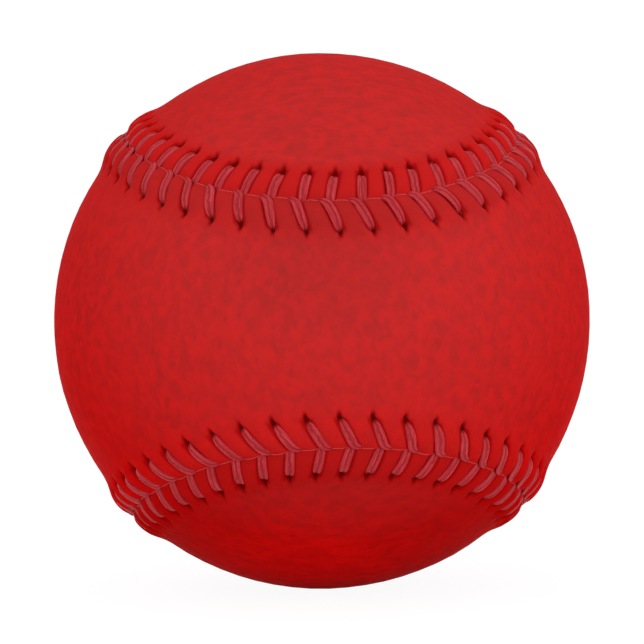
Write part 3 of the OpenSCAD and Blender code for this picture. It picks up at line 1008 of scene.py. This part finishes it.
class LegShapes:
    """Ready-made legs of a stitch, seen from the seam: X runs along it and Z out of the ball.

    A leg is a row of sections. Each has its distance from the seam, its height over the
    leather and its drift along the seam, in millimetres, and its share of the full width.
    """

    SECTION = [
        (-1, 0), (-0.8, 0.72), (-0.4, 1), (0, 0.72), (0.4, 1), (0.8, 0.72), (1, 0), (0, -0.8),
    ]
    FRONT_ROWS = [
        (3.95, -0.85, 0, 0.5), (3.65, -0.45, 0, 0.66), (3.3, -0.15, 0, 0.84), (2.75, 0, 0, 0.96),
        (2.1, 0.02, 0, 1.02), (1.4, 0.03, 0, 1.02), (0.8, 0.04, 0, 1),
        (0.38, 0.02, -0.08, 0.92), (0.08, -0.08, -0.36, 0.7), (-0.1, -0.38, -0.75, 0.4),
    ]
    REAR_ROWS = [
        (3.9, -0.8, 0, 0.7), (3.7, -0.42, 0, 0.82), (3.38, -0.13, 0, 0.93), (2.85, 0, 0, 1),
        (2.15, 0, 0, 1), (1.5, 0, 0, 0.98), (0.9, -0.02, 0, 0.95), (0.45, -0.08, 0, 0.92),
        (0.12, -0.25, 0, 0.85), (-0.12, -0.5, 0, 0.7),
    ]
    VARIANTS = 6
    SUNK_SHARE = 0.92
    START_SPREAD = (-0.35, 0.1)
    RISE_SPREAD = (-0.05, 0.05)
    WIDTH_SPREAD = (0.9, 1.07)
    BOW_SPREAD = (-0.14, 0.14)

    def __init__(self, sizes, relief, seed):
        self.sizes, self.relief = sizes, relief
        self.rng = np.random.default_rng(seed)

    def rows(self, side):
        """Reach, rise and drift of each section in metres and its width, varied by chance."""
        rng = self.rng
        places, rises, drifts, widths = np.array(self.FRONT_ROWS if side > 0 else self.REAR_ROWS).T
        places = places + rng.uniform(*self.START_SPREAD) * np.linspace(1, 0, len(places))
        rises = rises + rng.uniform(*self.RISE_SPREAD)
        widths = widths * rng.uniform(*self.WIDTH_SPREAD)
        bow = rng.uniform(*self.BOW_SPREAD) * np.sin(math.pi * np.clip(places / places[0], 0, 1))
        return places * MM, rises * MM, (bow + drifts) * MM, widths

    def midline(self, side, reach, rises, drifts):
        """Points along the middle of a leg and the ball's outward direction at each."""
        sizes = self.sizes
        sunk = sizes.pucker * self.relief.swell(reach) + sizes.dent * self.relief.pressed(reach)
        up = self.relief.ridge(np.maximum(reach, 0), side) - sunk * self.SUNK_SHARE
        out = sizes.radius + (up + sizes.thread_height / 2 + rises)
        along = self.relief.lean_at(reach, side) + drifts
        angles = -side * reach / sizes.radius
        middle = np.stack([along, np.sin(angles) * out, np.cos(angles) * out - sizes.radius], 1)
        return middle, np.stack([np.zeros_like(angles), np.sin(angles), np.cos(angles)], 1)

    def leg(self, name, side):
        """One leg as a closed tube, which knows each point's place across and along it."""
        reach, rises, drifts, widths = self.rows(side)
        middle, outward = self.midline(side, reach, rises, drifts)
        run = unit(np.gradient(middle, axis=0))
        beside = unit(np.cross(run, outward))
        outward = np.cross(beside, run)
        rings = [
            middle + beside * (w * widths * self.sizes.thread_width / 2)[:, None]
            + outward * h * self.sizes.thread_height / 2
            for w, h in self.SECTION
        ]
        points = np.stack(rings, 1).reshape(-1, 3)
        faces = tube_faces(len(reach), len(self.SECTION))
        a, b, c = np.moveaxis(points[np.array([face[:3] for face in faces])], 1, 0)
        if ((a - middle.mean(0)) * np.cross(b - a, c - a)).sum() < 0:
            faces = [face[::-1] for face in faces]
        made = mesh_object(name, points, faces)
        runs = np.linspace(0, 1, len(reach))
        places = np.array([(w, place, 0.0) for place in runs for w, _ in self.SECTION])
        write_attributes(made.data, "POINT", {"ply_place": places})
        return made

    def collection(self, name, side):
        """A collection of differing legs for one side of the seam."""
        kept = bpy.data.collections.new(name)
        for number in range(self.VARIANTS):
            made = self.leg(f"{name}_{number}", side)
            bpy.context.scene.collection.objects.unlink(made)
            kept.objects.link(made)
        return kept


class Lacing(Tree):
    """Geometry nodes that put a leg on every point, picked by chance and leaned as told."""

    INPUTS = {
        "Geometry": "Geometry", "Front legs": "Collection", "Rear legs": "Collection",
        "Width change": "Float", "Variants": "Int", "Seed": "Int", "Material": "Material",
    }
    WIDTH_SEED = 2.0
    SHAPE_SEED = 3.0
    FIBRE_SEED = 4.0

    def __init__(self):
        super().__init__(bpy.data.node_groups.new("lacing", "GeometryNodeTree"))
        sockets = self.tree.interface
        for title, kind in self.INPUTS.items():
            sockets.new_socket(title, in_out="INPUT", socket_type="NodeSocket" + kind)
        sockets.new_socket("Geometry", in_out="OUTPUT", socket_type="NodeSocketGeometry")
        self.given = self.node("NodeGroupInput").outputs
        self.along = self.named("seam_along", "FLOAT_VECTOR")

    def named(self, name, kind):
        """What each point holds under a name."""
        return self.first("GeometryNodeInputNamedAttribute", {0: name}, data_type=kind)

    def chance(self, low, high, kind, extra):
        """A number between two others for each leg, with a seed of its own."""
        first, last, result = {"FLOAT": (2, 3, 1), "INT": (4, 5, 2)}[kind]
        inputs = {first: low, last: high, "Seed": self.math("ADD", self.given["Seed"], extra)}
        return self.node("FunctionNodeRandomValue", inputs, data_type=kind).outputs[result]

    def points(self):
        """The given points, each moved along the seam by what its leg leans further."""
        inputs = {0: self.along, "Scale": self.named("lean_shift", "FLOAT")}
        moved = self.first("ShaderNodeVectorMath", inputs, operation="SCALE")
        given = self.given["Geometry"]
        return self.first("GeometryNodeSetPosition", {"Geometry": given, "Offset": moved})

    def rotation(self):
        """Stands a leg on the ball and swings one that leans further about its hole."""
        out = self.named("seam_out", "FLOAT_VECTOR")
        axes = {"Primary Axis": out, "Secondary Axis": self.along}
        turned = self.first(
            "FunctionNodeAxesToRotation", axes, primary_axis="Z", secondary_axis="X"
        )
        swing = self.first("ShaderNodeCombineXYZ", {2: self.named("lean_swing", "FLOAT")})
        inputs = {0: turned, 1: self.first("FunctionNodeEulerToRotation", {0: swing})}
        return self.first("FunctionNodeRotateRotation", inputs, rotation_space="LOCAL")

    def scale(self):
        """Makes each leg a little wider or narrower."""
        low = self.minus(1.0, self.given["Width change"])
        high = self.math("ADD", 1.0, self.given["Width change"])
        width = self.chance(low, high, "FLOAT", self.WIDTH_SEED)
        return self.first("ShaderNodeCombineXYZ", {0: width, 1: 1.0, 2: 1.0})

    def legs(self, title, selected, inputs):
        """Legs of one collection on the selected points."""
        shapes = self.first("GeometryNodeCollectionInfo", {
            "Collection": self.given[title], "Separate Children": True, "Reset Children": True
        })
        top = self.minus(self.given["Variants"], 1.0)
        return self.first("GeometryNodeInstanceOnPoints", {
            "Selection": selected, "Instance": shapes, "Pick Instance": True,
            "Instance Index": self.chance(0, top, "INT", self.SHAPE_SEED), **inputs,
        })

    def make(self):
        """The finished tree."""
        inputs = {"Points": self.points(), "Rotation": self.rotation(), "Scale": self.scale()}
        front = self.named("front_side", "BOOLEAN")
        rear = self.first("FunctionNodeBooleanMath", {0: front}, operation="NOT")
        joined = self.node("GeometryNodeJoinGeometry")
        for title, selected in (("Front legs", front), ("Rear legs", rear)):
            self.tree.links.new(self.legs(title, selected, inputs), joined.inputs[0])
        kept = self.first("GeometryNodeStoreNamedAttribute", {
            "Geometry": joined.outputs[0], "Name": "leg_chance",
            "Value": self.chance(0.0, 1.0, "FLOAT", self.FIBRE_SEED),
        }, data_type="FLOAT", domain="INSTANCE")
        real = self.first("GeometryNodeRealizeInstances", {0: kept})
        inputs = {"Geometry": real, "Material": self.given["Material"]}
        self.node("NodeGroupOutput", {0: self.first("GeometryNodeSetMaterial", inputs)})
        return self.tree


def lace(name, seam, relief, tree, first_side, values):
    """One thread: a leg on the front cover at each second stitch and on the rear one between."""
    numbers = np.arange(seam.count)
    out, along, _ = seam.frame(numbers)
    front = (numbers % 2 == 0) if first_side > 0 else (numbers % 2 == 1)
    shift = np.where(front, relief.shift_of(1, numbers), relief.shift_of(-1, numbers))
    swing = np.where(front, shift / relief.straight(1), -shift / relief.straight(-1))
    points = mesh_object(name + "_points", out * seam.radius, [])
    write_attributes(points.data, "POINT", {
        "seam_out": out, "seam_along": along, "front_side": front, "lean_shift": -shift,
        "lean_swing": swing,
    })
    modifier = points.modifiers.new("lacing", "NODES")
    modifier.node_group = tree
    sockets = {s.name: s.identifier for s in tree.interface.items_tree if s.in_out == "INPUT"}
    for title, value in values.items():
        modifier[sockets[title]] = value
    bpy.context.view_layer.update()
    evaluated = points.evaluated_get(bpy.context.evaluated_depsgraph_get())
    mesh = bpy.data.meshes.new_from_object(evaluated)
    bpy.data.objects.remove(points)
    mesh.name = name
    return new_object(name, mesh)


# Operators


def ball_parts(context):
    """The sizes, the seam and the relief that every piece is made from."""
    sizes = context.scene.ball_sizes
    seam = Seam(sizes)
    return sizes, seam, Relief(sizes, seam)


def finish_node(node, material):
    """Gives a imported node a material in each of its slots."""
    made = frame["nodes"][node]
    if not made.data.materials:
        made.data.materials.append(material)
    for slot in made.material_slots:
        slot.material = material


class BALL_OT_make_covers(bpy.types.Operator):
    """Make the two leather covers, raised along the seam and drawn in by every stitch"""

    bl_idname = "ball.make_covers"
    bl_label = "Make Covers"

    def execute(self, context):
        sizes, seam, relief = ball_parts(context)
        colours = context.scene.ball_colours
        for node, side in (("front_cover", 1), ("rear_cover", -1)):
            cover = CoverShape(sizes, seam, relief, side).make(node + "_leather")
            leather = CoverLeather(node + "_grain", colours, sizes.hole_offset, side)
            cover.data.materials.append(leather.make())
            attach(cover, "root")
            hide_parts(node)
        return {"FINISHED"}


class BALL_OT_lace_covers(bpy.types.Operator):
    """Lace the covers with two threads, whose legs cross from the holes to the seam"""

    bl_idname = "ball.lace_covers"
    bl_label = "Lace Covers"

    WIDTH_CHANGE = 0.05
    SEEDS_APART = 10

    def execute(self, context):
        sizes, seam, relief = ball_parts(context)
        thread = waxed_thread(context.scene.ball_colours)
        shapes = LegShapes(sizes, relief, sizes.seed)
        values = {
            "Front legs": shapes.collection("front_leg", 1),
            "Rear legs": shapes.collection("rear_leg", -1),
            "Width change": self.WIDTH_CHANGE,
            "Variants": shapes.VARIANTS,
            "Material": thread,
        }
        tree = Lacing().make()
        for node, side in (("first_thread", 1), ("second_thread", -1)):
            values["Seed"] = sizes.seed * self.SEEDS_APART + side
            made = lace(node + "_plies", seam, relief, tree, side, values)
            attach(made, "root")
            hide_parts(node)
        return {"FINISHED"}


class BALL_OT_finish_centre(bpy.types.Operator):
    """Give the cork, its rubber shells, the washer and the moulded layer their finishes"""

    bl_idname = "ball.finish_centre"
    bl_label = "Finish Centre"

    def execute(self, context):
        colours = context.scene.ball_colours
        black = moulded_rubber("black_moulded_rubber", colours.black_rubber)
        red = moulded_rubber("red_moulded_rubber", colours.red_rubber)
        finish_node("cork_core", ground_cork(colours))
        for node in ("upper_black_shell", "lower_black_shell"):
            finish_node(node, black)
        for node in ("red_washer", "red_rubber_layer"):
            finish_node(node, red)
        return {"FINISHED"}


class BALL_OT_finish_windings(bpy.types.Operator):
    """Give the four windings the look of wound yarn"""

    bl_idname = "ball.finish_windings"
    bl_label = "Finish Windings"

    def execute(self, context):
        colours = context.scene.ball_colours
        grey = wound_yarn("grey_wool_yarn", colours.grey_yarn, yarn_width=1.5, fuzz=0.6)
        white = wound_yarn("white_wool_yarn", colours.white_yarn, yarn_width=1.2, fuzz=0.5)
        cotton = wound_yarn("fine_cotton_yarn", colours.cotton_yarn, yarn_width=0.5, fuzz=0.3)
        finish_node("first_winding", grey)
        finish_node("second_winding", white)
        finish_node("third_winding", grey)
        finish_node("finish_winding", cotton)
        return {"FINISHED"}


class BALL_OT_set_stage(bpy.types.Operator):
    """Set up the pale floor and backdrop, the soft lamp, the room's light and the camera"""

    bl_idname = "ball.set_stage"
    bl_label = "Set Stage"

    FLOOR_HALF_WIDTH = 1.6
    FLOOR_FRONT = -1.2
    BACK_DISTANCE = 1.2
    BACK_HEIGHT = 1.6
    BEND_RADIUS = 0.4
    BEND_STEPS = 16
    FLOOR_SHARE = 0.12
    KEY_PLACE = (-0.1, -0.5, 0.75)
    KEY_WIDTH = 0.7
    FILL_PLACE = (0.45, -0.75, 0.1)
    FILL_WIDTH = 0.5
    PICTURE_SHIFT = -0.0017
    NEAREST_SEEN = 0.01

    def backdrop(self, radius):
        """Floor that bends up into a backdrop, with a front side only towards the ball."""
        turns = np.linspace(0, math.pi / 2, self.BEND_STEPS + 1)
        bend_y = self.BACK_DISTANCE - self.BEND_RADIUS + self.BEND_RADIUS * np.sin(turns)
        bend_z = -radius + self.BEND_RADIUS * (1 - np.cos(turns))
        line = [(self.FLOOR_FRONT, -radius), *zip(bend_y, bend_z),
                (self.BACK_DISTANCE, self.BACK_HEIGHT)]
        sides = (-self.FLOOR_HALF_WIDTH, self.FLOOR_HALF_WIDTH)
        points = [(x, y, z) for y, z in line for x in sides]
        faces = [(2 * i, 2 * i + 1, 2 * i + 3, 2 * i + 2) for i in range(len(line) - 1)]
        made = mesh_object("studio_floor", np.array(points), faces)
        made.data.materials.append(studio_white(self.FLOOR_SHARE))

    def room(self, context):
        """The room's even light, white where the camera sees it."""
        world = bpy.data.worlds.new("studio_room")
        world.use_nodes = True
        tree = Tree(world.node_tree)
        strength = tree.smooth(studio_rays(tree), 0.0, 1.0, context.scene.ball_studio.room, 1.0)
        background = world.node_tree.nodes["Background"]
        tree.give(background, {"Color": (1, 1, 1, 1), "Strength": strength})
        context.scene.world = world

    def lamp(self, name, place, width, watts):
        """A round soft lamp that faces the ball."""
        light = bpy.data.lights.new(name, "AREA")
        light.shape = "DISK"
        light.size = width
        light.energy = watts
        made = new_object(name, light)
        made.location = place
        made.rotation_euler = (-made.location).to_track_quat("-Z", "Y").to_euler()

    def camera(self, context):
        """The camera, turned round the ball so that the ball itself stays upright."""
        studio = context.scene.ball_studio
        lens = bpy.data.cameras.new("studio_camera")
        lens.lens = studio.lens
        lens.sensor_fit = "HORIZONTAL"
        lens.shift_y = self.PICTURE_SHIFT
        lens.clip_start = self.NEAREST_SEEN
        made = new_object("studio_camera", lens)
        rotation = mathutils.Matrix.Rotation
        ball_turn = (
            rotation(studio.tilt, 4, "X") @ rotation(studio.roll, 4, "Y")
            @ rotation(studio.turn, 4, "Z")
        )
        stand = mathutils.Matrix.Translation((0, -studio.distance, 0))
        made.matrix_world = ball_turn.inverted() @ stand @ rotation(math.pi / 2, 4, "X")
        context.scene.camera = made

    def execute(self, context):
        studio = context.scene.ball_studio
        self.backdrop(context.scene.ball_sizes.radius)
        self.room(context)
        self.lamp("soft_key", self.KEY_PLACE, self.KEY_WIDTH, studio.key)
        self.lamp("low_fill", self.FILL_PLACE, self.FILL_WIDTH, studio.fill)
        self.camera(context)
        context.scene.view_settings.view_transform = "Standard"
        return {"FINISHED"}


class BALL_PT_ball(bpy.types.Panel):
    """Buttons and sizes of the ball"""

    bl_idname = "BALL_PT_ball"
    bl_label = "Laced Leather Ball"
    bl_space_type = "VIEW_3D"
    bl_region_type = "UI"
    bl_category = "Ball"

    def draw(self, context):
        for operator in OPERATORS:
            self.layout.operator(operator.bl_idname)
        for group in (context.scene.ball_sizes, context.scene.ball_colours,
                      context.scene.ball_studio):
            box = self.layout.box()
            for name in group.__annotations__:
                box.prop(group, name)


OPERATORS = (
    BALL_OT_make_covers, BALL_OT_lace_covers, BALL_OT_finish_centre, BALL_OT_finish_windings,
    BALL_OT_set_stage,
)
CLASSES = (BallSizes, BallColours, BallStudio, *OPERATORS, BALL_PT_ball)


def register():
    for made in CLASSES:
        bpy.utils.register_class(made)
    bpy.types.Scene.ball_sizes = PointerProperty(type=BallSizes)
    bpy.types.Scene.ball_colours = PointerProperty(type=BallColours)
    bpy.types.Scene.ball_studio = PointerProperty(type=BallStudio)


def unregister():
    del bpy.types.Scene.ball_studio
    del bpy.types.Scene.ball_colours
    del bpy.types.Scene.ball_sizes
    for made in reversed(CLASSES):
        bpy.utils.unregister_class(made)


def main():
    """Makes the ball and its stage."""
    register()
    bpy.ops.ball.make_covers()
    bpy.ops.ball.lace_covers()
    bpy.ops.ball.finish_centre()
    bpy.ops.ball.finish_windings()
    bpy.ops.ball.set_stage()


if __name__ == "__main__":
    main()
